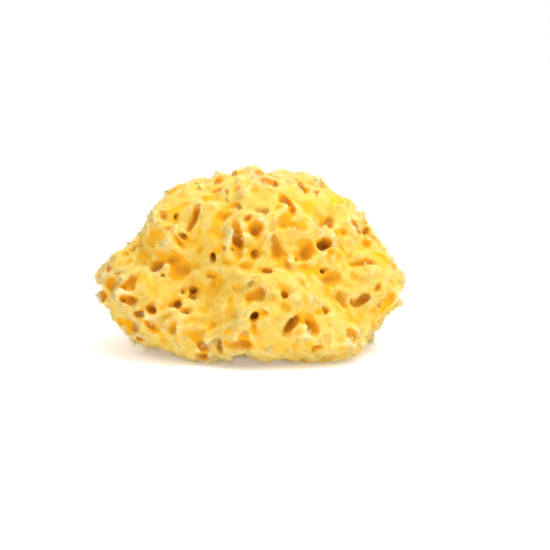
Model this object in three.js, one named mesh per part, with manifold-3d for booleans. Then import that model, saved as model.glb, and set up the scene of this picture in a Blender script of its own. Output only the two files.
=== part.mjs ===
// A honeycomb bath sponge: the dried skeleton of one sea sponge, a lobed mound riddled with pores,
// cut flat where it grew on the rock. It is one grown piece, so it is one solid.
// Millimetres, +Z up, +X to the right and +Y away from the front. The origin is the middle of the
// flat cut, under the centre of the body.
import * as THREE from "three";
import { mergeVertices } from "three/addons/utils/BufferGeometryUtils.js";
import Module from "manifold-3d";

// Driving dimensions, out to the tips of the fibres.
const WIDTH = 150;
const DEPTH = 114;
const HEIGHT = 87;

const CORE_HEIGHT = 0.42 * HEIGHT; // every part of the skin can be seen from this point on the axis
const SKIN_DETAIL = 10; // edges of the icosahedron are split this many times
const LOBE_BLEND = 9; // radius of the fillet between two lobes
const WOBBLE = 2.2; // unevenness of the skin between the lobes
const WOBBLE_LENGTH = 17; // distance from one bump of it to the next
const FRONT_TILT = THREE.MathUtils.degToRad(12); // the front faces this far above level

// What the body grew as. Centres and half sizes are shares of the half width, half depth and height.
const LOBES = [
  { at: [0.03, 0.06, 0.5], half: [0.62, 0.82, 0.47] }, // dome
  { at: [0.08, 0.14, 0.72], half: [0.46, 0.5, 0.24] }, // crown
  { at: [-0.38, 0.04, 0.61], half: [0.35, 0.55, 0.28] }, // left shoulder
  { at: [0.44, 0.06, 0.53], half: [0.39, 0.58, 0.29] }, // right shoulder
  { at: [-0.62, 0.02, 0.34], half: [0.38, 0.6, 0.25] }, // left cheek
  { at: [0.62, 0.03, 0.35], half: [0.38, 0.62, 0.27] }, // right cheek
  { at: [0.12, -0.54, 0.27], half: [0.36, 0.44, 0.26] }, // front nose
  { at: [0.32, -0.5, 0.14], half: [0.42, 0.44, 0.16] }, // front right foot
  { at: [-0.38, -0.28, 0.2], half: [0.42, 0.5, 0.2] }, // front left foot
  { at: [-0.25, 0.55, 0.38], half: [0.48, 0.45, 0.36] }, // back left lobe
  { at: [0.36, 0.52, 0.3], half: [0.45, 0.46, 0.31] }, // back right lobe
  { at: [0.08, 0.0, 0.14], half: [0.78, 0.84, 0.24] }, // foot, which the cut goes through
];

// The main openings of the front. at holds shares of the half width and of the height, in the plane
// that faces FRONT_TILT above level. wide and high are the mouth's sizes in millimetres, lean turns it
// anticlockwise in degrees, and deep is how far it goes in.
const FRONT_PORES = [
  { at: [-0.35, 0.7], wide: 4, high: 12, lean: -20, deep: 9 }, // long slit beside the crown
  { at: [-0.1, 0.75], wide: 4, high: 7, lean: 25, deep: 8 }, // short slit in the crown
  { at: [-0.1, 0.85], wide: 4, high: 5, lean: 0, deep: 5 }, // dent over it
  { at: [0.25, 0.75], wide: 3, high: 6, lean: 10, deep: 6 }, // crown's right slit
  { at: [-0.55, 0.75], wide: 5, high: 4, lean: 0, deep: 6 }, // left shoulder, upper
  { at: [-0.55, 0.65], wide: 4, high: 5, lean: -30, deep: 6 }, // left shoulder, lower
  { at: [-0.45, 0.55], wide: 4, high: 9, lean: 10, deep: 6 }, // under the left shoulder
  { at: [0.6, 0.6], wide: 5, high: 4, lean: 20, deep: 6 }, // right shoulder
  { at: [-0.1, 0.55], wide: 5, high: 9, lean: -10, deep: 11 }, // middle pair, left
  { at: [0, 0.6], wide: 8, high: 8, lean: -40, deep: 9 }, // middle pair, right
  { at: [0.2, 0.65], wide: 7, high: 10, lean: -20, deep: 5 }, // scoop at the valley's head
  { at: [0.15, 0.5], wide: 4, high: 11, lean: 5, deep: 8 }, // valley
  { at: [0.1, 0.4], wide: 7, high: 4, lean: 0, deep: 9 }, // valley's foot
  { at: [0.45, 0.55], wide: 10, high: 6, lean: 10, deep: 12 }, // cavern under the right shoulder
  { at: [0.7, 0.45], wide: 13, high: 4, lean: 15, deep: 5 }, // right cheek's ledge
  { at: [-0.25, 0.45], wide: 3, high: 4, lean: 0, deep: 11 }, // round canal
  { at: [-0.45, 0.4], wide: 10, high: 8, lean: 15, deep: 8 }, // left cheek's bowl
  { at: [-0.75, 0.35], wide: 5, high: 10, lean: 20, deep: 7 }, // left flute, upper
  { at: [-0.75, 0.25], wide: 6, high: 8, lean: 30, deep: 8 }, // left flute, lower
  { at: [-0.35, 0.3], wide: 3, high: 4, lean: 0, deep: 12 }, // round canal
  { at: [-0.45, 0.25], wide: 7, high: 5, lean: 10, deep: 7 }, // under the bowl
  { at: [-0.6, 0.2], wide: 6, high: 7, lean: 0, deep: 9 }, // left foot's round hole
  { at: [0.45, 0.4], wide: 4, high: 3, lean: 25, deep: 12 }, // canal over the cup
  { at: [0.5, 0.35], wide: 14, high: 9, lean: 15, deep: 5 }, // right cheek's wide cup
  { at: [0, 0.25], wide: 11, high: 3, lean: 15, deep: 8 }, // brow over the nose
  { at: [0.2, 0.25], wide: 3, high: 5, lean: 10, deep: 11 }, // nose, right
  { at: [0, 0.15], wide: 4, high: 4, lean: 0, deep: 14 }, // nose, the deep round one
  { at: [0.45, 0.2], wide: 7, high: 5, lean: 20, deep: 9 }, // right foot's round hole
  { at: [0.65, 0.25], wide: 4, high: 3, lean: 20, deep: 8 }, // beside it
  { at: [0.85, 0.25], wide: 7, high: 4, lean: 15, deep: 5 }, // right end's slit
  { at: [0.25, 0.1], wide: 6, high: 10, lean: -35, deep: 12 }, // groove beside the nose
  { at: [-0.7, 0.15], wide: 12, high: 4, lean: -25, deep: 9 }, // left foot's ledge
  { at: [-0.6, 0.1], wide: 7, high: 3, lean: -30, deep: 9 }, // under it
  { at: [-0.45, 0.1], wide: 6, high: 6, lean: -15, deep: 7 }, // left foot, lower
  { at: [-0.25, 0.1], wide: 7, high: 4, lean: 25, deep: 5 }, // foot of the nose, left
  { at: [-0.3, 0], wide: 4, high: 6, lean: 30, deep: 7 }, // rim, left
  { at: [-0.2, 0], wide: 4, high: 4, lean: 0, deep: 10 }, // rim, beside it
  { at: [-0.05, 0], wide: 10, high: 6, lean: 0, deep: 6 }, // rim, under the nose
];

// The openings all over the body, spread evenly and then jogged. Those too near another are left out.
const ROUND_PORES = 90;
const ROUND_PORE_WIDTH = [5, 12]; // smallest and largest mouth
const ROUND_PORE_DEPTH = [7, 14];
const PORE_GAP = 1.5; // least wall left between the mouths of two openings
const CUT_CLEARANCE = 9; // the foot's pores keep this far above the flat cut

// The canals that the flat cut went across, on a spiral that leaves the middle of the foot whole.
const CUT_CANALS = 10;
const CUT_CANAL_FROM_MIDDLE = [15, 36]; // the first and the last, along Y
const CUT_CANAL_WIDTH = [4.5, 8];
const CUT_CANAL_DEPTH = 10;

const STRAIGHT_UP = new THREE.Vector3(0, 0, 1);
const GOLDEN_ANGLE = Math.PI * (3 - Math.sqrt(5)); // turning by it spreads points evenly
const PORE_SIDES = 7;
const PORE_MOUTH_REACH = 9; // the cutter stands this far out of the skin, to clear the bumps
const AXIS_FROM_SKIN = 0.6; // how far an opening follows the skin's own normal, from 0 to 1

const COLOUR = 0xf4cd5c;

/** Repeatable numbers from 0 to 1. */
function seededNumbers(seed) {
  let state = seed;
  return () => {
    state = (Math.imul(state, 1664525) + 1013904223) >>> 0;
    return state / 2 ** 32;
  };
}

/** A fixed number from -1 to 1 for a point of the whole-number lattice. */
function latticeValue(x, y, z) {
  let h = Math.imul(x, 374761393) + Math.imul(y, 668265263) + Math.imul(z, 2147483647);
  h = Math.imul(h ^ (h >>> 13), 1274126177);
  return ((h ^ (h >>> 16)) >>> 0) / 2 ** 31 - 1;
}

/** Smooth noise from -1 to 1: the lattice's values, blended between its points. */
function noise(point, length) {
  const p = point.clone().divideScalar(length);
  const cell = p.clone().floor();
  const t = p.sub(cell).toArray().map((f) => f * f * (3 - 2 * f));
  let sum = 0;
  for (let corner = 0; corner < 8; corner += 1) {
    const step = [corner & 1, (corner >> 1) & 1, corner >> 2];
    const weight = step.reduce((w, s, axis) => w * (s ? t[axis] : 1 - t[axis]), 1);
    sum += weight * latticeValue(cell.x + step[0], cell.y + step[1], cell.z + step[2]);
  }
  return sum;
}

const LOBES_IN_MM = LOBES.map(({ at, half }) => ({
  centre: new THREE.Vector3((at[0] * WIDTH) / 2, (at[1] * DEPTH) / 2, at[2] * HEIGHT),
  radii: new THREE.Vector3((half[0] * WIDTH) / 2, (half[1] * DEPTH) / 2, half[2] * HEIGHT),
}));

/** Distance from an ellipsoid's surface, negative inside, exact near the surface. */
function ellipsoidDistance(point, { centre, radii }) {
  const offset = point.clone().sub(centre);
  const near = offset.clone().divide(radii).length();
  const slope = offset.divide(radii).divide(radii).length();
  return slope > 0 ? (near * (near - 1)) / slope : -Math.min(...radii.toArray());
}

/** Distance from the blended lobes, negative inside. */
function bodyDistance(point) {
  return LOBES_IN_MM.reduce((least, lobe) => {
    const d = ellipsoidDistance(point, lobe);
    const overlap = Math.max(LOBE_BLEND - Math.abs(least - d), 0) / LOBE_BLEND;
    return Math.min(least, d) - (overlap * overlap * LOBE_BLEND) / 4;
  }, Infinity);
}

/** How far the skin is from the core in a direction, found by halving. */
function skinReach(core, direction) {
  let inside = 0;
  let outside = WIDTH;
  for (let step = 0; step < 24; step += 1) {
    const middle = (inside + outside) / 2;
    const point = core.clone().addScaledVector(direction, middle);
    if (bodyDistance(point) < 0) inside = middle;
    else outside = middle;
  }
  const skin = core.clone().addScaledVector(direction, inside);
  return inside + WOBBLE * noise(skin, WOBBLE_LENGTH);
}

/** The uncut body, with its merged vertices and their normals. */
function bodyGeometry() {
  const ball = new THREE.IcosahedronGeometry(1, SKIN_DETAIL);
  ball.deleteAttribute("normal");
  ball.deleteAttribute("uv");
  const geometry = mergeVertices(ball, 1e-5);
  const core = new THREE.Vector3(0, 0, CORE_HEIGHT);
  const position = geometry.getAttribute("position");
  const direction = new THREE.Vector3();
  for (let i = 0; i < position.count; i += 1) {
    direction.fromBufferAttribute(position, i).normalize();
    const point = core.clone().addScaledVector(direction, skinReach(core, direction));
    position.setXYZ(i, point.x, point.y, point.z);
  }
  fitToSize(geometry);
  geometry.computeVertexNormals();
  return geometry;
}

/** Stretches the body so that what stands above the cut has exactly the driving dimensions. */
function fitToSize(geometry) {
  const position = geometry.getAttribute("position");
  const box = new THREE.Box3().setFromBufferAttribute(position);
  const size = box.getSize(new THREE.Vector3());
  const middle = box.getCenter(new THREE.Vector3());
  geometry.translate(-middle.x, -middle.y, 0);
  geometry.scale(WIDTH / size.x, DEPTH / size.y, HEIGHT / box.max.z);
}

/** Where a line first meets the skin, and the way the skin faces there. */
function meetSkin(skin, from, towards) {
  const hit = new THREE.Raycaster(from, towards).intersectObject(skin)[0];
  return hit ? { point: hit.point, normal: hit.normal.clone().normalize() } : null;
}

/** A cutter for one opening: a round-ended taper along -Z from a mouth at the origin. */
function poreCutter({ wide, high, deep }) {
  const profile = [
    new THREE.Vector2(0, -deep),
    new THREE.Vector2(0.65, -0.7 * deep),
    new THREE.Vector2(1, 0),
    new THREE.Vector2(1.1, PORE_MOUTH_REACH),
    new THREE.Vector2(0, PORE_MOUTH_REACH),
  ];
  const cutter = new THREE.LatheGeometry(profile, PORE_SIDES);
  cutter.rotateX(Math.PI / 2);
  cutter.scale(wide / 2, high / 2, 1);
  return cutter;
}

/** Leans a cutter, turns it so that it points out of the skin, and puts it there. */
function placeCutter(cutter, spot, outward, lean) {
  cutter.rotateZ(THREE.MathUtils.degToRad(lean));
  cutter.applyQuaternion(new THREE.Quaternion().setFromUnitVectors(STRAIGHT_UP, outward));
  return cutter.translate(spot.x, spot.y, spot.z);
}

/** The main openings of the front: each one's cutter in its place, its spot and its radius. */
function frontOpenings(skin) {
  const outOfFront = new THREE.Vector3(0, -Math.cos(FRONT_TILT), Math.sin(FRONT_TILT));
  const planeUp = new THREE.Vector3(0, Math.sin(FRONT_TILT), Math.cos(FRONT_TILT));
  return FRONT_PORES.map((pore) => {
    const [across, up] = pore.at;
    const from = outOfFront.clone().multiplyScalar(2 * DEPTH);
    from.addScaledVector(planeUp, up * HEIGHT).setX((across * WIDTH) / 2);
    const { point, normal } = meetSkin(skin, from, outOfFront.clone().negate());
    const outward = outOfFront.clone().lerp(normal, AXIS_FROM_SKIN).normalize();
    const cutter = placeCutter(poreCutter(pore), point, outward, pore.lean);
    return { point, radius: Math.max(pore.wide, pore.high) / 2, cutter };
  });
}

/** The openings all over the body that keep clear of the ones already made. */
function roundOpenings(skin, already) {
  const next = seededNumbers(7);
  const between = ([low, high]) => low + (high - low) * next() ** 1.6;
  const core = new THREE.Vector3(0, 0, CORE_HEIGHT);
  const made = [];
  for (let i = 0; i < ROUND_PORES; i += 1) {
    const height = 1 - (2 * (i + 0.5)) / ROUND_PORES;
    const ring = Math.sqrt(1 - height * height);
    const angle = GOLDEN_ANGLE * i + 0.5 * next();
    const direction = new THREE.Vector3(
      ring * Math.cos(angle),
      ring * Math.sin(angle),
      height + 0.08 * (next() - 0.5),
    ).normalize();
    const wide = between(ROUND_PORE_WIDTH);
    const pore = { wide, high: wide * (0.6 + 0.7 * next()), deep: between(ROUND_PORE_DEPTH) };
    const lean = 180 * next();
    const from = core.clone().addScaledVector(direction, WIDTH);
    const { point, normal } = meetSkin(skin, from, direction.clone().negate());
    const radius = Math.max(pore.wide, pore.high) / 2;
    const near = (other) => other.point.distanceTo(point) < other.radius + radius + PORE_GAP;
    const crowded = [...already, ...made].some(near);
    if (crowded || point.z < CUT_CLEARANCE) continue;
    const outward = direction.clone().lerp(normal, AXIS_FROM_SKIN).normalize();
    made.push({ point, radius, cutter: placeCutter(poreCutter(pore), point, outward, lean) });
  }
  return made;
}

/** The canals that open in the flat cut, each a cutter in its place. */
function cutCutters() {
  return Array.from({ length: CUT_CANALS }, (_, i) => {
    const share = i / (CUT_CANALS - 1);
    const out = THREE.MathUtils.lerp(...CUT_CANAL_FROM_MIDDLE, share);
    const wide = THREE.MathUtils.lerp(...CUT_CANAL_WIDTH, (i % 3) / 2);
    const angle = GOLDEN_ANGLE * i;
    const spot = new THREE.Vector3((WIDTH / DEPTH) * out * Math.cos(angle), out * Math.sin(angle), 0);
    const cutter = poreCutter({ wide, high: 1.3 * wide, deep: CUT_CANAL_DEPTH });
    return placeCutter(cutter, spot, STRAIGHT_UP.clone().negate(), THREE.MathUtils.radToDeg(angle));
  });
}

const wasm = await Module();
wasm.setup();

/** A closed three.js geometry as a solid that can be cut. */
function solidOf(geometry) {
  const bare = geometry.clone();
  bare.deleteAttribute("normal");
  bare.deleteAttribute("uv");
  const merged = mergeVertices(bare, 1e-4);
  const mesh = new wasm.Mesh({
    numProp: 3,
    vertProperties: new Float32Array(merged.getAttribute("position").array),
    triVerts: new Uint32Array(merged.index.array),
  });
  return new wasm.Manifold(mesh);
}

/** A solid's surface as a three.js geometry. */
function geometryOf(solid) {
  const mesh = solid.getMesh();
  const geometry = new THREE.BufferGeometry();
  geometry.setAttribute("position", new THREE.BufferAttribute(mesh.vertProperties, 3));
  geometry.setIndex(new THREE.BufferAttribute(mesh.triVerts, 1));
  geometry.computeVertexNormals();
  return geometry;
}

const skin = new THREE.Mesh(bodyGeometry());
const belowCut = new THREE.BoxGeometry(2 * WIDTH, 2 * DEPTH, HEIGHT).translate(0, 0, -HEIGHT / 2);

const front = frontOpenings(skin);
const cutters = [...front, ...roundOpenings(skin, front)].map((opening) => opening.cutter);

let grown = solidOf(skin.geometry).subtract(solidOf(belowCut));
for (const cutter of [...cutters, ...cutCutters()]) {
  grown = grown.subtract(solidOf(cutter));
}

const sponge = new THREE.Mesh(
  geometryOf(grown),
  new THREE.MeshStandardMaterial({ color: COLOUR, roughness: 0.95, metalness: 0 }),
);
sponge.name = "sponge";

const part = new THREE.Group();
part.add(sponge);

export default part;
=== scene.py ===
"""A honeycomb bath sponge: its porous skeleton, velvet and tufts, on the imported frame.

Metres, +Z up, +X to the right, +Y away from the front. The origin is the middle of the flat cut.
"""

import logging
import math
from dataclasses import dataclass, field
from enum import Enum
from random import Random
from typing import Any, Iterable, Iterator, NamedTuple, Sequence

import bmesh
import bpy
import numpy as np
import openvdb
from mathutils import Matrix, Vector
from mathutils.bvhtree import BVHTree

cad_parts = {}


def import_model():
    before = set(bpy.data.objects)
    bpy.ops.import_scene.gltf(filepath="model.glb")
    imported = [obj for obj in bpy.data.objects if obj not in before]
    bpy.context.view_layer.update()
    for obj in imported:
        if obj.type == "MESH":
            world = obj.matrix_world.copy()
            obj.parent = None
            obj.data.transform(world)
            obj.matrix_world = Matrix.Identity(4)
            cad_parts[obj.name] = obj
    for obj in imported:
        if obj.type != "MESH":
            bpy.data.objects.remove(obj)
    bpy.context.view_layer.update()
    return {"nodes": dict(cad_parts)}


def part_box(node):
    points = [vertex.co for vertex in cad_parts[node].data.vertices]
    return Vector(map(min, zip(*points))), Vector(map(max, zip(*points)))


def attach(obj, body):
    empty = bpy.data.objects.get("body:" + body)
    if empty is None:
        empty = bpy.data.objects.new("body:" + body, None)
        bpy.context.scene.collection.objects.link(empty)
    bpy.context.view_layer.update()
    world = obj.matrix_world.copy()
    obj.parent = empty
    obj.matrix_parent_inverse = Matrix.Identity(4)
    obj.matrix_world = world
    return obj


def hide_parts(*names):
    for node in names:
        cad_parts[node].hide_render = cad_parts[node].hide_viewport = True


log = logging.getLogger("sponge")

MM = 0.001
NODE = "sponge"
BODY = "root"
GOLDEN_ANGLE = math.pi * (3 - math.sqrt(5))
FRONT_TILT = math.radians(12)  # the front faces this far above level
FRONT = Vector((0, -math.cos(FRONT_TILT), math.sin(FRONT_TILT)))  # from the body to who looks at it
VIEW_DISTANCE = 0.665  # of the camera from the middle of the flat cut
VIEWPOINT = FRONT * VIEW_DISTANCE


def linear(colour: str) -> tuple[float, float, float, float]:
    """Turn an sRGB colour into the linear colour that a shader takes.

    Args:
        colour: The colour as #RRGGBB.

    Returns:
        Linear red, green and blue, and an alpha of 1.
    """
    shares = [int(colour[i : i + 2], 16) / 255 for i in (1, 3, 5)]
    red, green, blue = (s / 12.92 if s <= 0.04045 else ((s + 0.055) / 1.055) ** 2.4 for s in shares)
    return red, green, blue, 1.0


def add_node(
    tree: bpy.types.NodeTree,
    kind: str,
    settings: dict[Any, Any] | None = None,
    links: dict[Any, bpy.types.NodeSocket] | None = None,
) -> bpy.types.Node:
    """Add one shader node.

    Args:
        tree: The node tree that it goes in.
        kind: The node's type, without its Shader prefix where it has one.
        settings: Values by input name or number, or by property name.
        links: The output that feeds each input, by the input's name or number.

    Returns:
        The new node.
    """
    node = tree.nodes.new("ShaderNode" + kind)
    for key, value in (settings or {}).items():
        if isinstance(key, str) and hasattr(node, key):
            setattr(node, key, value)
        else:
            node.inputs[key].default_value = value
    for key, output in (links or {}).items():
        tree.links.new(output, node.inputs[key])
    return node


def add_object(name: str, mesh: bpy.types.Mesh) -> bpy.types.Object:
    """Put a mesh in the scene as an object at the origin.

    Args:
        name: The object's name.
        mesh: Its mesh.

    Returns:
        The new object.
    """
    made = bpy.data.objects.new(name, mesh)
    bpy.context.scene.collection.objects.link(made)
    return made


def apply_modifier(piece: bpy.types.Object, kind: str, **settings: Any) -> None:
    """Add a modifier to a piece and make its result the piece's mesh.

    Args:
        piece: The object that is changed.
        kind: The modifier's type.
        settings: The modifier's properties.
    """
    modifier = piece.modifiers.new(kind.lower(), kind)
    for name, value in settings.items():
        setattr(modifier, name, value)
    result = piece.evaluated_get(bpy.context.evaluated_depsgraph_get())
    old = piece.data
    made = bpy.data.meshes.new_from_object(result)
    piece.modifiers.clear()
    piece.data = made
    bpy.data.meshes.remove(old)


def positions(mesh: bpy.types.Mesh) -> np.ndarray:
    """The places of a mesh's vertices, one row each."""
    flat = np.empty(len(mesh.vertices) * 3, np.float32)
    mesh.vertices.foreach_get("co", flat)
    return flat.reshape(-1, 3).astype(float)


def normals(mesh: bpy.types.Mesh) -> np.ndarray:
    """The normals of a mesh's vertices, one row each."""
    flat = np.empty(len(mesh.vertices) * 3, np.float32)
    mesh.vertex_normals.foreach_get("vector", flat)
    return flat.reshape(-1, 3).astype(float)


def lattice_noise(shape: Sequence[int], cells: Sequence[float], draw: np.random.Generator) -> np.ndarray:
    """Smooth noise on a grid: random values on a coarse lattice, joined by cubic splines.

    Args:
        shape: The grid's size along each axis.
        cells: The coarse lattice's spacing along each axis, in grid cells.
        draw: Where the random values come from.

    Returns:
        The noise, with a mean of 0 and a standard deviation of 1.
    """
    values = draw.standard_normal([int(n / c) + 4 for n, c in zip(shape, cells)]).astype(np.float32)
    for axis, count in enumerate(shape):
        place = np.arange(count) / cells[axis]
        base = place.astype(int)
        part = place - base
        shares = (
            (1 - part) ** 3 / 6,
            (3 * part**3 - 6 * part**2 + 4) / 6,
            (-3 * part**3 + 3 * part**2 + 3 * part + 1) / 6,
            part**3 / 6,
        )
        weights = np.zeros((count, values.shape[axis]), np.float32)
        for step, share in enumerate(shares):
            weights[np.arange(count), base + step] = share
        values = np.moveaxis(np.tensordot(weights, values, (1, axis)), 0, axis)
    return (values - values.mean()) / values.std()


def blurred(values: np.ndarray, cells: int, rounds: int = 3) -> np.ndarray:
    """Blur a grid with a few running means along each axis, which come close to a bell curve.

    Args:
        values: The grid.
        cells: How far the running mean reaches to each side, in cells.
        rounds: How many running means are taken along each axis.

    Returns:
        The blurred grid, in the same shape.
    """
    result = values.astype(np.float32)
    width = 2 * cells + 1
    for axis in range(3):
        for _ in range(rounds):
            padding = [(0, 0)] * 3
            padding[axis] = (cells + 1, cells)
            sums = np.cumsum(np.pad(result, padding, mode="edge"), axis=axis, dtype=np.float64)
            upper = np.take(sums, np.arange(width, sums.shape[axis]), axis=axis)
            lower = np.take(sums, np.arange(0, sums.shape[axis] - width), axis=axis)
            result = ((upper - lower) / width).astype(np.float32)
    return result


def smooth_cut(body: np.ndarray, cutter: np.ndarray, fillet: float) -> np.ndarray:
    """Take a cutter out of a body and round the edge between them.

    Args:
        body: Signed distances of the body, negative inside.
        cutter: Signed distances of what is taken out, negative inside.
        fillet: The size of the rounding, in metres.

    Returns:
        Signed distances of what is left.
    """
    other = -cutter
    share = np.clip(0.5 + 0.5 * (body - other) / fillet, 0, 1)
    return other + (body - other) * share + fillet * share * (1 - share)


def keep_largest(piece: bpy.types.Object) -> None:
    """Delete every loose crumb of a mesh, and keep its largest body.

    Args:
        piece: The object whose mesh is changed.
    """
    mesh = piece.data
    count = len(mesh.vertices)
    ends = np.empty(len(mesh.edges) * 2, np.int32)
    mesh.edges.foreach_get("vertices", ends)
    first, second = ends.reshape(-1, 2).T
    label = np.arange(count)
    while True:
        lowest = label.copy()
        np.minimum.at(lowest, first, label[second])
        np.minimum.at(lowest, second, label[first])
        lowest = lowest[lowest]
        if (lowest == label).all():
            break
        label = lowest
    sizes = np.bincount(label, minlength=count)
    shape = bmesh.new()
    shape.from_mesh(mesh)
    shape.verts.ensure_lookup_table()
    crumbs = [shape.verts[i] for i in np.flatnonzero(label != sizes.argmax())]
    bmesh.ops.delete(shape, geom=crumbs, context="VERTS")
    shape.to_mesh(mesh)
    shape.free()
    log.info("%d vertices in crumbs deleted", len(crumbs))


class Wave(NamedTuple):
    """Openings of one kind that are spread over the body by a rule, in millimetres."""

    count: int  # directions tried, all round the body
    width: tuple[float, float]
    depth: tuple[float, float]
    slant: float  # how far they lean from straight in
    fillet: float
    front_chance: float  # the share of them that is made where the front is seen


DIMPLES = Wave(500, (4.0, 9.0), (0.6, 1.5), 0.2, 1.4, 1.0)
PITS = Wave(360, (4.0, 10.0), (3.0, 7.0), 0.4, 1.4, 0.3)
CANALS = Wave(240, (2.2, 3.6), (6.0, 10.0), 0.5, 0.9, 0.18)
FRONT_SHARE = 0.28  # cosine of the angle from the front that still counts as the front

LUMPS = ((6.5, 0.65), (3.2, 0.35))  # how far apart and how high, in millimetres
CRESTS = ((7.5, 1.9, 0.6), (3.6, 0.9, 0.55))  # and how wide, as a share of the noise they follow
GRAIN = ((2.4, 0.15), (1.5, 0.14))
WARP = ((8.0, 1.0), (4.0, 0.5))  # how far apart and how far the body is bent


@dataclass
class Grid:
    """An even grid of values round the sponge."""

    voxel: float
    low: Vector
    shape: tuple[int, int, int]
    first: tuple[int, int, int] = field(init=False)
    axes: list[np.ndarray] = field(init=False)

    def __post_init__(self) -> None:
        """Settle the grid's first cell and the places of its cells along each axis."""
        self.first = tuple(math.floor(x / self.voxel) for x in self.low)
        self.axes = [
            ((np.arange(count) + start) * self.voxel).astype(np.float32)
            for start, count in zip(self.first, self.shape)
        ]

    def sample(self, values: np.ndarray, places: np.ndarray) -> np.ndarray:
        """Read the grid between its cells.

        Args:
            values: The grid's values.
            places: The places to read, with x, y and z along the first axis.

        Returns:
            One value for each place.
        """
        steps = [
            np.clip(p / self.voxel - start, 0, count - 1.001)
            for p, start, count in zip(places, self.first, self.shape)
        ]
        whole = [s.astype(np.int32) for s in steps]
        part = [s - w for s, w in zip(steps, whole)]
        strides = (self.shape[1] * self.shape[2], self.shape[2], 1)
        flat = values.ravel()
        base = sum(w * s for w, s in zip(whole, strides))
        total = 0.0
        for corner in range(8):
            bits = [(corner >> axis) & 1 for axis in range(3)]
            share = 1.0
            for bit, p in zip(bits, part):
                share = share * (p if bit else 1 - p)
            total = total + share * flat[base + sum(b * s for b, s in zip(bits, strides))]
        return total

    def window(self, centre: Vector, reach: float) -> tuple[slice, slice, slice]:
        """The cells within reach of a place along each axis."""
        slices = []
        for x, start, count in zip(centre, self.first, self.shape):
            middle = x / self.voxel - start
            span = reach / self.voxel
            slices.append(slice(max(0, int(middle - span)), min(count, int(middle + span) + 2)))
        return tuple(slices)


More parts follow.
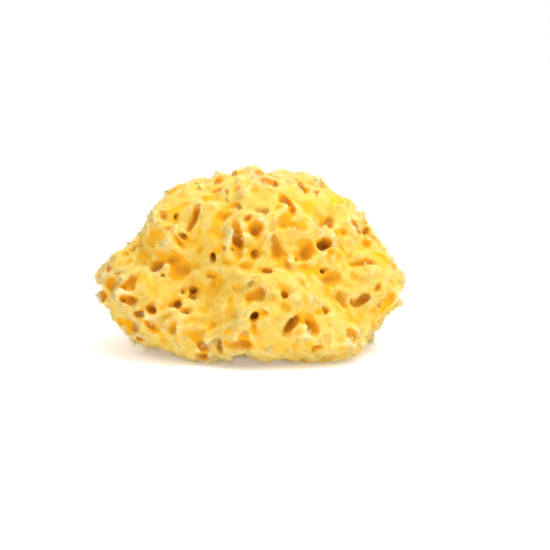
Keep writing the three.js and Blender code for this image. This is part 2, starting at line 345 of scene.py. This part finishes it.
@dataclass
class Skeleton:
    """The sponge's own body: a lobed mound of spongin, riddled with pits and canals.

    It is made on a grid of signed distances and then wrapped in a mesh, not by bmesh operators: hundreds
    of cuts by Boolean took far longer and left sharp, shell-like rims where the real ones are soft. Its
    outline and its main openings are the frame's own. Only the finer ones are added here.
    """

    inset: float = 1.9 * MM  # the velvet and the tufts stand this far out of the skin
    voxel: float = 0.7 * MM
    coarse_voxel: float = 1.4 * MM
    widest_pore: float = 8.0 * MM  # half the width of the widest opening of the frame's solid
    core_depth: float = 9.0 * MM  # how far under the skin the distances go on growing
    margin: float = 5.0 * MM
    triangles: int = 190_000
    core_share: float = 0.42  # every part of the skin can be seen from this share of the height
    pore_fillet: float = 1.8 * MM
    pore_swell: float = 0.4 * MM  # the frame's pores are widened by what the relief takes from them
    pore_band: float = 3.0 * MM  # how far from the frame's solid its distances are worked out
    sheets_top: float = 26 * MM  # the sheets near the ground fade out up to this height
    sheets_inner: float = 14 * MM  # and towards the middle within this far of it
    sheets_fade: float = 16 * MM
    sheet_size: tuple[float, float, float] = (14.0, 14.0, 2.8)
    sheet_height: float = 0.9 * MM
    deepest: float = 10.0 * MM  # the depth under the skin that the depth attribute calls 1
    jog: float = 0.3  # radians that a spot is turned from its even place, at most
    stretch: tuple[float, float] = (1.3, 0.8)  # of the ball that spots lie on, across and up
    outside: float = 0.2  # a place this far from the core is outside the body
    flatness: tuple[float, float] = (0.55, 1.0)  # an opening's height as a share of its width
    smoothing: float = 0.5
    smoothing_rounds: int = 2
    near_cells: int = 2  # openness counts how much body lies within this many cells
    far_cells: int = 6
    open_from: float = 1.15
    crowding: float = 0.6
    seed: int = 11
    grid: Grid = field(init=False, repr=False)
    values: np.ndarray = field(init=False, repr=False)
    skin: np.ndarray = field(init=False, repr=False)
    warped: np.ndarray = field(init=False, repr=False)
    bored: np.ndarray = field(init=False, repr=False)

    def build(self, solid: bpy.types.Object) -> bpy.types.Object:
        """Grow the skeleton from the frame's solid.

        Args:
            solid: The frame's own object, which stays as it is.

        Returns:
            The finished piece, not yet dressed.
        """
        self.fill_grid(solid)
        self.raise_relief()
        self.carve()
        self.roughen()
        piece = self.wrap()
        self.measure(piece.data)
        return piece

    def fill_grid(self, solid: bpy.types.Object) -> None:
        """Turn the frame's solid into signed distances, bent a little so that nothing is straight.

        Args:
            solid: The frame's own object, which stays as it is.
        """
        shape = bmesh.new()
        shape.from_mesh(solid.data)
        bmesh.ops.remove_doubles(shape, verts=shape.verts, dist=0.01 * MM)
        points = np.array([v.co for v in shape.verts], np.float32)
        faces = np.array([[v.index for v in f.verts] for f in shape.faces], np.uint32)
        shape.free()
        low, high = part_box(solid.name)
        span = high - low + Vector((2, 2, 2)) * self.margin
        counts = tuple(math.ceil(x / self.voxel) for x in span)
        self.grid = Grid(self.voxel, low - Vector((1, 1, 1)) * self.margin, counts)
        bored = self.distances(self.grid, points, {"triangles": faces}, self.pore_band)
        counts = tuple(math.ceil(x / self.coarse_voxel) + 2 for x in span)
        coarse = Grid(self.coarse_voxel, self.grid.low, counts)
        points, quads = self.closed_over(points, faces)
        closed = self.distances(coarse, points, {"quads": quads}, self.widest_pore + self.core_depth)
        draw = np.random.default_rng(self.seed)
        places = np.stack(np.meshgrid(*self.grid.axes, indexing="ij"))
        for axis in range(3):
            for length, height in WARP:
                places[axis] += self.noise(length, draw) * height * MM
        self.warped = places
        self.values = coarse.sample(closed, places).astype(np.float32) + self.widest_pore + self.inset
        self.bored = self.grid.sample(bored, places).astype(np.float32)

    def distances(
        self, grid: Grid, points: np.ndarray, faces: dict[str, np.ndarray], reach: float
    ) -> np.ndarray:
        """Signed distances from a closed surface, negative inside.

        Args:
            grid: The grid that they are worked out on.
            points: The surface's corners.
            faces: Its triangles or its quads, by that name.
            reach: How far from the surface they go on growing.

        Returns:
            The distance at each of the grid's cells.
        """
        scale = openvdb.createLinearTransform(voxelSize=grid.voxel)
        level = openvdb.FloatGrid.createLevelSetFromPolygons(
            points, transform=scale, halfWidth=reach / grid.voxel, **faces
        )
        values = np.empty(grid.shape, np.float32)
        level.copyToArray(values, ijk=grid.first)
        return values

    def closed_over(self, points: np.ndarray, faces: np.ndarray) -> tuple[np.ndarray, np.ndarray]:
        """The skin of the solid moved out by half a wide pore, so that every opening closes over.

        Args:
            points: The solid's corners.
            faces: Its triangles.

        Returns:
            The moved skin's corners and its four-sided faces.
        """
        level = openvdb.FloatGrid.createLevelSetFromPolygons(
            points,
            triangles=faces,
            transform=openvdb.createLinearTransform(voxelSize=self.coarse_voxel),
            halfWidth=self.widest_pore / self.coarse_voxel + 2,
        )
        points, _, quads = level.convertToPolygons(isovalue=self.widest_pore, adaptivity=0)
        return points, quads

    def carve(self) -> None:
        """Cut the fine pits and canals into the body, and open the frame's own pores in it."""
        mesh = self.meshed()
        tree = BVHTree.FromPolygons([v.co for v in mesh.vertices], [p.vertices for p in mesh.polygons])
        bpy.data.meshes.remove(mesh)
        self.cut_round(tree)
        self.values = smooth_cut(self.values, -self.bored - self.pore_swell, self.pore_fillet)

    def skin_spots(self, tree: BVHTree, count: int, draw: Random) -> Iterator[tuple[Vector, Vector, Vector]]:
        """Spots spread evenly over the skin and then jogged.

        Args:
            tree: The body's faces, which say where its skin is.
            count: How many directions are tried.
            draw: Where the random jogs come from.

        Yields:
            The spot, the skin's normal there and the direction that it lies in.
        """
        _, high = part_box(NODE)
        core = Vector((0, 0, self.core_share * high.z))
        for i in range(count):
            upward = 1 - 2 * (i + draw.random()) / count
            turn = i * GOLDEN_ANGLE + draw.uniform(-self.jog, self.jog)
            out = math.sqrt(max(0.0, 1 - upward * upward))
            across, up = self.stretch
            ray = Vector((out * math.cos(turn) * across, out * math.sin(turn), upward * up)).normalized()
            spot, normal, _, _ = tree.ray_cast(core + ray * self.outside, -ray)
            if spot is not None:
                yield spot, normal, ray

    def cut_round(self, tree: BVHTree) -> None:
        """Cut the pits and canals that are spread over the whole body, more thinly on the front.

        Args:
            tree: The body's faces, which say where its skin is.
        """
        draw = Random(self.seed)
        for wave in (DIMPLES, PITS, CANALS):
            for spot, normal, ray in self.skin_spots(tree, wave.count, draw):
                wide = draw.triangular(wave.width[0], wave.width[1], wave.width[0]) * MM / 2
                high = wide * draw.uniform(*self.flatness)
                deep = draw.uniform(*wave.depth) * MM
                tilt = Vector(draw.uniform(-wave.slant, wave.slant) for _ in range(3))
                inwards = (normal + tilt).normalized()
                aside = inwards.orthogonal().normalized()
                aside.rotate(Matrix.Rotation(draw.uniform(0, math.tau), 3, inwards))
                chance = wave.front_chance if ray.dot(FRONT) > FRONT_SHARE else 1.0
                if draw.random() < chance:
                    axes = (aside, inwards.cross(aside), inwards)
                    self.cut_ball(spot, axes, (wide, high, deep), wave.fillet * MM)

    def cut_ball(self, at: Vector, axes: Sequence[Vector], sizes: Sequence[float], fillet: float) -> None:
        """Take one stretched ball out of the body.

        Args:
            at: Its centre.
            axes: Its three directions, at right angles.
            sizes: Its half size along each of them.
            fillet: The rounding of its rim.
        """
        window = self.grid.window(at, max(sizes) + fillet + 2 * MM)
        place = np.array(at).reshape(3, 1)
        middle = [self.grid.sample(warped, place)[0] for warped in self.warped]
        offset = [self.warped[(i, *window)] - middle[i] for i in range(3)]
        along = [sum(o * a for o, a in zip(offset, axis)) / size for axis, size in zip(axes, sizes)]
        radius = np.sqrt(sum(x * x for x in along)) + 1e-6
        slope = np.sqrt(sum((x / size) ** 2 for x, size in zip(along, sizes))) + 1e-6
        distance = radius * (radius - 1) / slope
        self.values[window] = smooth_cut(self.values[window], distance, fillet)

    def raise_relief(self) -> None:
        """Give the skin its relief: lumps, sharp crests, and sheets near the ground."""
        draw = np.random.default_rng(self.seed + 1)
        for length, height in LUMPS:
            self.values += self.noise(length, draw) * height * MM
        for length, height, width in CRESTS:
            crest = np.clip(1 - np.abs(self.noise(length, draw)) / width, 0, 1)
            self.values -= crest * crest * height * MM
        across, _, up = np.meshgrid(*self.grid.axes, indexing="ij", sparse=True)
        low = np.clip((self.sheets_top - up) / self.sheets_fade, 0, 1)
        aside = np.clip((np.abs(across) - self.sheets_inner) / self.sheets_fade, 0, 1)
        self.values += self.noise(self.sheet_size, draw) * low * aside * self.sheet_height
        self.skin = self.values.copy()

    def roughen(self) -> None:
        """Roughen everything down to the fibre bundles' own size, and cut the body flat at the ground."""
        draw = np.random.default_rng(self.seed + 2)
        for length, height in GRAIN:
            self.values += self.noise(length, draw) * height * MM
        self.values = np.maximum(self.values, -self.grid.axes[2])

    def noise(self, length: float | tuple[float, float, float], draw: np.random.Generator) -> np.ndarray:
        """Noise over the whole grid.

        Args:
            length: How far apart its lumps lie in millimetres, for all axes or for each.
            draw: Where the random values come from.

        Returns:
            The noise, with a mean of 0 and a standard deviation of 1.
        """
        lengths = np.broadcast_to(length, 3)
        return lattice_noise(self.grid.shape, lengths * MM / self.voxel, draw)

    def meshed(self) -> bpy.types.Mesh:
        """The surface where the distances pass through 0, as a mesh."""
        scale = openvdb.createLinearTransform(voxelSize=self.voxel)
        level = openvdb.FloatGrid(3 * self.voxel)
        level.copyFromArray(np.clip(self.values, -3 * self.voxel, 3 * self.voxel), ijk=self.grid.first)
        level.transform = scale
        points, _, quads = level.convertToPolygons(isovalue=0, adaptivity=0)
        mesh = bpy.data.meshes.new("skeleton")
        mesh.from_pydata(points, [], quads)
        return mesh

    def wrap(self) -> bpy.types.Object:
        """Wrap the body in its skin and leave out the faces that the smoother stretches don't need.

        Returns:
            The body as an object.
        """
        piece = add_object("skeleton", self.meshed())
        keep_largest(piece)
        apply_modifier(piece, "SMOOTH", factor=self.smoothing, iterations=self.smoothing_rounds)
        faces = sum(len(p.vertices) - 2 for p in piece.data.polygons)
        log.info("skeleton has %d triangles before thinning", faces)
        if faces > self.triangles:
            apply_modifier(piece, "DECIMATE", ratio=self.triangles / faces)
        piece.data.shade_smooth()
        return piece

    def measure(self, mesh: bpy.types.Mesh) -> None:
        """Store how open each vertex lies and how deep it lies under the uncut skin.

        Openness runs from 0 in a deep canal to 1 on a bare ridge, and depth from 0 at the skin to 1. The
        material paints shade into the hollows and light onto the open ridges from them.

        Args:
            mesh: The skin's mesh.
        """
        solid = (self.values < 0).astype(np.float32)
        places = positions(mesh).T
        near = self.grid.sample(blurred(solid, self.near_cells), places)
        far = self.grid.sample(blurred(solid, self.far_cells), places)
        openness = np.clip(self.open_from - self.crowding * near - self.crowding * far, 0, 1)
        depth = np.clip(-self.grid.sample(self.skin, places) / self.deepest, 0, 1)
        for name, values in (("openness", openness), ("depth", depth)):
            layer = mesh.attributes.new(name, "FLOAT", "POINT")
            layer.data.foreach_set("value", values.astype(np.float32))
            log.info("%s %s", name, np.round(np.percentile(values, (1, 10, 25, 50, 75, 90, 99)), 2))


@dataclass(frozen=True)
class SponginFinish:
    """Bleached spongin: soft matt horn fibre, which lets light in. Its colour deepens into the hollows,
    partly as the less bleached inside and partly as painted shade, and pales on open ridges as painted
    light.
    """

    skin: str = "#E4C35A"
    # dip, hollow, canal and depths deepen with depth under the skin: partly the less bleached inside, partly
    # painted shade in the hollows; dip is also painted shade in crowded valleys
    dip: str = "#E6B436"
    hollow: str = "#F0B014"
    canal: str = "#EEA008"
    depths: str = "#D87000"
    # straw is painted light on the open ridges, stronger in random patches
    straw: str = "#EBDCA4"
    honey: str = "#D8A838"
    patch: float = 9 * MM  # how far apart the paler and the darker patches lie
    mottle: float = 1.6 * MM
    fuzz: float = 0.5 * MM  # how far apart the fibre ends of the felt lie
    relief: float = 0.3 * MM
    bump: float = 0.7
    valley: tuple[float, float] = (0.62, 0.42)  # openness where the painted valley shade starts and is full
    ridge: tuple[float, float] = (0.62, 0.9)  # openness where the painted light on ridges starts and is full
    valley_shade_share: float = 0.6
    ridge_light_share: float = 0.7
    speck_share: float = 0.3
    roughness: float = 0.85
    specular: float = 0.05
    glow_share: float = 0.75  # of the light that goes through the fibres
    glow_reach: float = 3.0 * MM
    glow_colours: tuple[float, float, float] = (1.0, 0.55, 0.12)  # how far red, green and blue go

    def build(self) -> bpy.types.Material:
        """Make the material.

        Returns:
            The material, which reads the depth and openness attributes and Object coordinates.
        """
        material = bpy.data.materials.new("bleached_spongin")
        material.use_nodes = True
        tree = material.node_tree
        shader = tree.nodes["Principled BSDF"]
        # Painted shade, partly the less bleached inside: the colour deepens with depth under the skin.
        colour = self.deep_tone_and_shade(tree)
        openness = add_node(tree, "Attribute", {"attribute_name": "openness"}).outputs["Fac"]
        # Painted shade: where the skin is crowded in by body, its colour is mixed towards dip.
        settings = {"From Min": self.valley[0], "From Max": self.valley[1]}
        valley_shade = add_node(tree, "MapRange", settings, {"Value": openness}).outputs["Result"]
        colour = self.mixed(tree, valley_shade, self.valley_shade_share, colour, self.dip)
        # Painted light: the open ridges are mixed towards pale straw, more in random patches.
        settings = {"From Min": self.ridge[0], "From Max": self.ridge[1]}
        open_ridge_light = add_node(tree, "MapRange", settings, {"Value": openness}).outputs["Result"]
        patches = self.noise(tree, self.patch, 2.0, (0.35, 0.7))
        ridge_light_patches = add_node(tree, "Math", {"operation": "ADD"}, {0: patches, 1: open_ridge_light}).outputs[0]
        ridge_light_patches = add_node(tree, "Math", {"operation": "MULTIPLY"}, {0: ridge_light_patches, 1: open_ridge_light}).outputs[0]
        colour = self.mixed(tree, ridge_light_patches, self.ridge_light_share, colour, self.straw)
        specks = self.noise(tree, self.mottle, 3.0, (0.5, 0.72))
        colour = self.mixed(tree, specks, self.speck_share, colour, self.honey)
        tree.links.new(colour, shader.inputs["Base Color"])
        tree.links.new(self.felt(tree), shader.inputs["Normal"])
        shader.inputs["Roughness"].default_value = self.roughness
        shader.inputs["Subsurface Weight"].default_value = self.glow_share
        shader.inputs["Subsurface Radius"].default_value = self.glow_colours
        shader.inputs["Subsurface Scale"].default_value = self.glow_reach
        shader.inputs["Specular IOR Level"].default_value = self.specular
        return material

    def deep_tone_and_shade(self, tree: bpy.types.NodeTree) -> bpy.types.NodeSocket:
        """Deepen the colour from the bleached skin down into the canals: partly the less bleached inside,
        partly painted shade in the hollows.

        Args:
            tree: The material's node tree.

        Returns:
            The colour.
        """
        depth = add_node(tree, "Attribute", {"attribute_name": "depth"}).outputs["Fac"]
        ramp = add_node(tree, "ValToRGB", links={"Fac": depth})
        colours = (self.skin, self.dip, self.hollow, self.canal, self.depths)
        stops = tuple(zip((0.05, 0.1, 0.19, 0.45, 0.8), colours))
        while len(ramp.color_ramp.elements) < len(stops):
            ramp.color_ramp.elements.new(0.5)
        for element, (place, colour) in zip(ramp.color_ramp.elements, stops):
            element.position = place
            element.color = linear(colour)
        return ramp.outputs["Color"]

    def noise(
        self, tree: bpy.types.NodeTree, size: float, detail: float, span: tuple[float, float]
    ) -> bpy.types.NodeSocket:
        """Noise in Object coordinates, stretched so that it runs from 0 to 1 over a span of its values.

        Args:
            tree: The material's node tree.
            size: How far apart its lumps lie.
            detail: How many finer layers it has.
            span: The values that become 0 and 1.

        Returns:
            The noise.
        """
        place = add_node(tree, "TexCoord").outputs["Object"]
        noise = add_node(tree, "TexNoise", {"Scale": 1 / size, "Detail": detail}, {"Vector": place})
        settings = {"From Min": span[0], "From Max": span[1]}
        return add_node(tree, "MapRange", settings, {"Value": noise.outputs["Fac"]}).outputs["Result"]

    def mixed(
        self,
        tree: bpy.types.NodeTree,
        where: bpy.types.NodeSocket,
        most: float,
        under: bpy.types.NodeSocket,
        over: str,
    ) -> bpy.types.NodeSocket:
        """Lay a colour over another one where a mask says.

        Args:
            tree: The material's node tree.
            where: The mask.
            most: The share of the upper colour where the mask is 1.
            under: The lower colour.
            over: The upper colour.

        Returns:
            The mixed colour.
        """
        share = add_node(tree, "Math", {"operation": "MULTIPLY", 1: most}, {0: where}).outputs[0]
        mix = add_node(tree, "MixRGB", {"Color2": linear(over)}, {"Fac": share, "Color1": under})
        return mix.outputs["Color"]

    def felt(self, tree: bpy.types.NodeTree) -> bpy.types.NodeSocket:
        """The fine felt of fibre ends, too small for the mesh.

        Args:
            tree: The material's node tree.

        Returns:
            The bent normal.
        """
        lumps = self.noise(tree, self.fuzz * 2.4, 3.0, (0.3, 0.7))
        ends = self.noise(tree, self.fuzz, 2.0, (0.3, 0.7))
        height = add_node(tree, "Math", {"operation": "ADD"}, {0: lumps, 1: ends}).outputs[0]
        bump = add_node(tree, "Bump", {"Strength": self.bump, "Distance": self.relief}, {"Height": height})
        return bump.outputs["Normal"]


class Strand(NamedTuple):
    """The fibres of one kind, in millimetres."""

    count: int
    bundle: int  # fibres that grow towards one shared tip
    length: tuple[float, float]
    width: float
    lean: float  # how far they lean from straight out
    joints: int  # straight stretches along one fibre
    openness: float  # none grows where the skin lies less open than this


class Coat(Enum):
    """The kinds of fibre that stand out of the skin."""

    VELVET = Strand(70_000, 1, (0.7, 1.9), 0.11, 0.6, 1, 0.42)
    TUFTS = Strand(11_700, 9, (1.6, 3.2), 0.13, 0.5, 2, 0.6)
    WHISKERS = Strand(11_000, 1, (1.8, 4.2), 0.12, 0.6, 2, 0.58)


@dataclass
class Fibres:
    """All the fibres of one kind, joined in one or more meshes."""

    coat: Coat
    seed: int
    most_triangles: int = 195_000
    sides: int = 3
    sunk: float = 0.25 * MM  # how deep a fibre's root sits in the skin
    bundle_reach: float = 0.8 * MM
    comb: float = 10 * MM  # neighbours lean alike over about this far
    clearance: float = 0.4 * MM  # over the ground
    deepest_root: float = 0.16  # none grows where the depth attribute is over this
    worn: float = 0.6  # how much of the coat is left where the front faces straight out
    combed_share: float = 0.6  # of a fibre's lean, what it has in common with its neighbours
    stray_share: float = 0.8
    lift: float = 0.35  # how strongly a leaning fibre turns back outwards
    gather: float = 0.25  # how much of a bundle's spread is left at its tips
    tip_scatter: float = 0.2 * MM
    bend_share: float = 0.15  # of its length, how far a fibre's middle stands off its straight line
    taper: float = 0.6

    def build(self, skin: bpy.types.Mesh) -> list[bpy.types.Object]:
        """Grow the fibres on a skin.

        Args:
            skin: The mesh that they grow on, with its openness and depth attributes.

        Returns:
            The pieces, each under most_triangles triangles.
        """
        draw = np.random.default_rng(self.seed)
        roots, tips, bends, outwards = self.lay_out(skin, draw)
        each = 2 * self.sides * (self.coat.value.joints - 1) + self.sides + 1
        share = math.ceil(len(roots) * each / self.most_triangles)
        pieces = []
        for number, chosen in enumerate(np.array_split(np.arange(len(roots)), share), 1):
            name = f"{self.coat.name.lower()}_{number}"
            piece = self.mesh_of(name, roots[chosen], tips[chosen], bends[chosen])
            shades = np.repeat(outwards[chosen], len(piece.data.vertices) // len(chosen), axis=0)
            piece.data.normals_split_custom_set_from_vertices(shades)
            pieces.append(piece)
        return pieces

    def lay_out(
        self, skin: bpy.types.Mesh, draw: np.random.Generator
    ) -> tuple[np.ndarray, np.ndarray, np.ndarray, np.ndarray]:
        """Place every fibre.

        Args:
            skin: The mesh that they grow on.
            draw: Where the random numbers come from.

        Returns:
            Each fibre's root, tip, sideways bend and skin normal, one row each.
        """
        kind = self.coat.value
        spots, outwards = self.spots(skin, kind.count // kind.bundle, draw)
        waves = draw.standard_normal((3, 3)) / self.comb
        combed = np.sin(spots @ waves * math.tau + draw.uniform(0, math.tau, 3))
        lean = self.combed_share * combed + self.stray_share * draw.standard_normal(spots.shape)
        towards = outwards + kind.lean * lean
        towards /= np.linalg.norm(towards, axis=1, keepdims=True)
        towards += self.lift * outwards
        towards /= np.linalg.norm(towards, axis=1, keepdims=True)
        length = draw.uniform(*kind.length, (len(spots), 1)) * MM
        tips = spots + towards * length
        roots = spots - outwards * self.sunk
        if kind.bundle > 1:
            roots = np.repeat(roots, kind.bundle, axis=0)
            tips = np.repeat(tips, kind.bundle, axis=0)
            outwards = np.repeat(outwards, kind.bundle, axis=0)
            aside = draw.standard_normal(roots.shape) * self.bundle_reach / 1.7
            aside -= outwards * (aside * outwards).sum(1, keepdims=True)
            roots += aside
            tips += aside * self.gather + draw.standard_normal(tips.shape) * self.tip_scatter
        lengths = np.linalg.norm(tips - roots, axis=1, keepdims=True)
        bends = draw.standard_normal(roots.shape) * lengths * self.bend_share
        kept = tips[:, 2] > self.clearance
        return roots[kept], tips[kept], bends[kept], outwards[kept]

    def spots(
        self, skin: bpy.types.Mesh, count: int, draw: np.random.Generator
    ) -> tuple[np.ndarray, np.ndarray]:
        """Pick spots at random on the open parts of a skin.

        Args:
            skin: The mesh.
            count: How many spots to pick.
            draw: Where the random numbers come from.

        Returns:
            The spots and the skin's normals there.
        """
        skin.calc_loop_triangles()
        corners = np.empty(len(skin.loop_triangles) * 3, np.int32)
        skin.loop_triangles.foreach_get("vertices", corners)
        corners = corners.reshape(-1, 3)
        places = positions(skin)
        openness = np.empty(len(places), np.float32)
        skin.attributes["openness"].data.foreach_get("value", openness)
        depth = np.empty(len(places), np.float32)
        skin.attributes["depth"].data.foreach_get("value", depth)
        a, b, c = (places[corners[:, i]] for i in range(3))
        area = np.linalg.norm(np.cross(b - a, c - a), axis=1) / 2
        weight = area * np.clip(openness[corners].mean(1) - self.coat.value.openness, 0, 0.25)
        weight *= np.clip((self.deepest_root - depth[corners].mean(1)) / self.deepest_root, 0, 1)
        facing = np.cross(b - a, c - a) @ np.array(FRONT) / (2 * area + 1e-12)
        weight *= 1 - (1 - self.worn) * np.clip((facing - 0.25) / 0.5, 0, 1)
        total = np.cumsum(weight)
        face = np.searchsorted(total, draw.uniform(0, total[-1], count))
        shares = draw.dirichlet((1, 1, 1), count)[:, :, None]
        spots = (places[corners[face]] * shares).sum(1)
        outwards = (normals(skin)[corners[face]] * shares).sum(1)
        return spots, outwards / np.linalg.norm(outwards, axis=1, keepdims=True)

    def mesh_of(
        self, name: str, roots: np.ndarray, tips: np.ndarray, bends: np.ndarray
    ) -> bpy.types.Object:
        """Join tapered, bent and closed fibres in one mesh.

        Args:
            name: The object's name.
            roots: The fibres' roots, one row each.
            tips: Their tips.
            bends: How far each one's middle stands off its straight line.

        Returns:
            The fibres as one object.
        """
        kind = self.coat.value
        along = tips - roots
        aside = np.cross(along, bends + 1e-9)
        aside /= np.linalg.norm(aside, axis=1, keepdims=True)
        across = np.cross(along, aside)
        across /= np.linalg.norm(across, axis=1, keepdims=True)
        rows, shares = [], []
        for ring in range(kind.joints):
            share = ring / kind.joints
            middle = roots + along * share + bends * 4 * share * (1 - share)
            radius = kind.width / 2 * MM * (1 - share) ** self.taper
            for side in range(self.sides):
                turn = math.tau * side / self.sides
                rows.append(middle + (aside * math.cos(turn) + across * math.sin(turn)) * radius)
                shares.append(share)
        rows.append(tips)
        shares.append(1.0)
        points = np.stack(rows, axis=1).reshape(-1, 3)
        pattern = self.pattern(kind.joints)
        first = np.arange(len(roots)) * len(rows)
        faces = (pattern[None] + first[:, None, None]).reshape(-1, 3)
        mesh = bpy.data.meshes.new(name)
        mesh.vertices.add(len(points))
        mesh.vertices.foreach_set("co", points.astype(np.float32).ravel())
        mesh.loops.add(faces.size)
        mesh.loops.foreach_set("vertex_index", faces.astype(np.int32).ravel())
        mesh.polygons.add(len(faces))
        mesh.polygons.foreach_set("loop_start", np.arange(0, faces.size, 3, dtype=np.int32))
        mesh.update(calc_edges=True)
        mesh.shade_smooth()
        layer = mesh.attributes.new("along", "FLOAT", "POINT")
        layer.data.foreach_set("value", np.tile(np.array(shares, np.float32), len(roots)))
        return add_object(name, mesh)

    def pattern(self, joints: int) -> np.ndarray:
        """The faces of one fibre: its closed root, its rings and its pointed tip.

        Args:
            joints: How many straight stretches the fibre has.

        Returns:
            Three corners for each face.
        """
        faces = [(2, 1, 0)]
        for ring in range(joints):
            start = ring * self.sides
            for side in range(self.sides):
                here, beside = start + side, start + (side + 1) % self.sides
                if ring + 1 == joints:
                    faces.append((here, beside, start + self.sides))
                else:
                    faces.append((here, beside, beside + self.sides))
                    faces.append((here, beside + self.sides, here + self.sides))
        return np.array(faces)


@dataclass(frozen=True)
class FibreFinish:
    """Single fibres of bleached spongin: horn, painted palest at their tips for the light that the thin tips
    let through.
    """

    # root to tip grows paler: painted light for the light that passes through the thin tips
    root: str = "#FBDC7A"
    tip: str = "#FFF2BA"
    roughness: float = 0.7
    specular: float = 0.1

    def build(self) -> bpy.types.Material:
        """Make the material, which reads how far along its fibre each place lies.

        Returns:
            The material.
        """
        material = bpy.data.materials.new("spongin_fibre")
        material.use_nodes = True
        tree = material.node_tree
        shader = tree.nodes["Principled BSDF"]
        # Painted light: paler along the fibre towards the tip.
        along = add_node(tree, "Attribute", {"attribute_name": "along"}).outputs["Fac"]
        settings = {"Color1": linear(self.root), "Color2": linear(self.tip)}
        mix = add_node(tree, "MixRGB", settings, {"Fac": along})
        tree.links.new(mix.outputs["Color"], shader.inputs["Base Color"])
        shader.inputs["Roughness"].default_value = self.roughness
        shader.inputs["Specular IOR Level"].default_value = self.specular
        return material


@dataclass
class Studio:
    """A white sweep under soft light, and the camera."""

    lens: float = 90.0
    floor_glow: float = 0.25  # the table is lit from below, which keeps the shadows pale
    floor_half: float = 20.0
    floor_roughness: float = 0.9
    key_place: tuple[float, float, float] = (0.3, -0.15, 0.95)
    key_width: float = 0.6
    key_power: float = 8.0
    sensor: float = 36.0  # millimetres
    aim: tuple[float, float, float] = (0.0114, 0.0, 0.035)

    def build(self) -> None:
        """Make the floor, the lights and the camera."""
        self.add_floor()
        self.add_lights()
        self.add_camera()

    def add_floor(self) -> None:
        """A plain white floor."""
        shape = bmesh.new()
        bmesh.ops.create_grid(shape, x_segments=1, y_segments=1, size=self.floor_half)
        mesh = bpy.data.meshes.new("floor")
        shape.to_mesh(mesh)
        shape.free()
        floor = add_object("floor", mesh)
        material = bpy.data.materials.new("white_paper")
        material.use_nodes = True
        shader = material.node_tree.nodes["Principled BSDF"]
        shader.inputs["Base Color"].default_value = linear("#FAFAFA")
        shader.inputs["Roughness"].default_value = self.floor_roughness
        shader.inputs["Emission Color"].default_value = (1, 1, 1, 1)
        shader.inputs["Emission Strength"].default_value = self.floor_glow
        mesh.materials.append(material)

    def add_lights(self) -> None:
        """A white world and one large soft key, overhead and a little to the right."""
        world = bpy.data.worlds.new("white_room")
        world.use_nodes = True
        world.node_tree.nodes["Background"].inputs["Color"].default_value = (1, 1, 1, 1)
        world.node_tree.nodes["Background"].inputs["Strength"].default_value = 1.0
        bpy.context.scene.world = world
        light = bpy.data.lights.new("key", "AREA")
        light.shape = "DISK"
        light.size = self.key_width
        light.energy = self.key_power
        lamp = bpy.data.objects.new("key", light)
        lamp.location = self.key_place
        lamp.rotation_euler = (-Vector(self.key_place)).to_track_quat("-Z", "Y").to_euler()
        bpy.context.scene.collection.objects.link(lamp)

    def add_camera(self) -> None:
        """The camera, a little above level in front of the sponge."""
        camera = bpy.data.cameras.new("camera")
        camera.lens = self.lens
        camera.sensor_width = self.sensor
        camera.clip_start = 0.01
        eye = bpy.data.objects.new("camera", camera)
        eye.location = VIEWPOINT
        eye.rotation_euler = (Vector(self.aim) - eye.location).to_track_quat("-Z", "Y").to_euler()
        bpy.context.scene.collection.objects.link(eye)
        bpy.context.scene.camera = eye
        bpy.context.scene.view_settings.view_transform = "Standard"


def main() -> None:
    """Build every piece in order."""
    logging.basicConfig(level=logging.INFO, format="%(message)s")
    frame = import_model()
    Studio().build()
    solid = frame["nodes"][NODE]
    body = Skeleton().build(solid)
    body.data.materials.append(SponginFinish().build())
    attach(body, BODY)
    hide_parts(NODE)
    log.info("%s: %d faces", body.name, len(body.data.polygons))
    fibre_finish = FibreFinish().build()
    for seed, coat in enumerate(Coat):
        for piece in Fibres(coat, seed).build(body.data):
            piece.data.materials.append(fibre_finish)
            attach(piece, BODY)
            log.info("%s: %d faces", piece.name, len(piece.data.polygons))


if __name__ == "__main__":
    main()
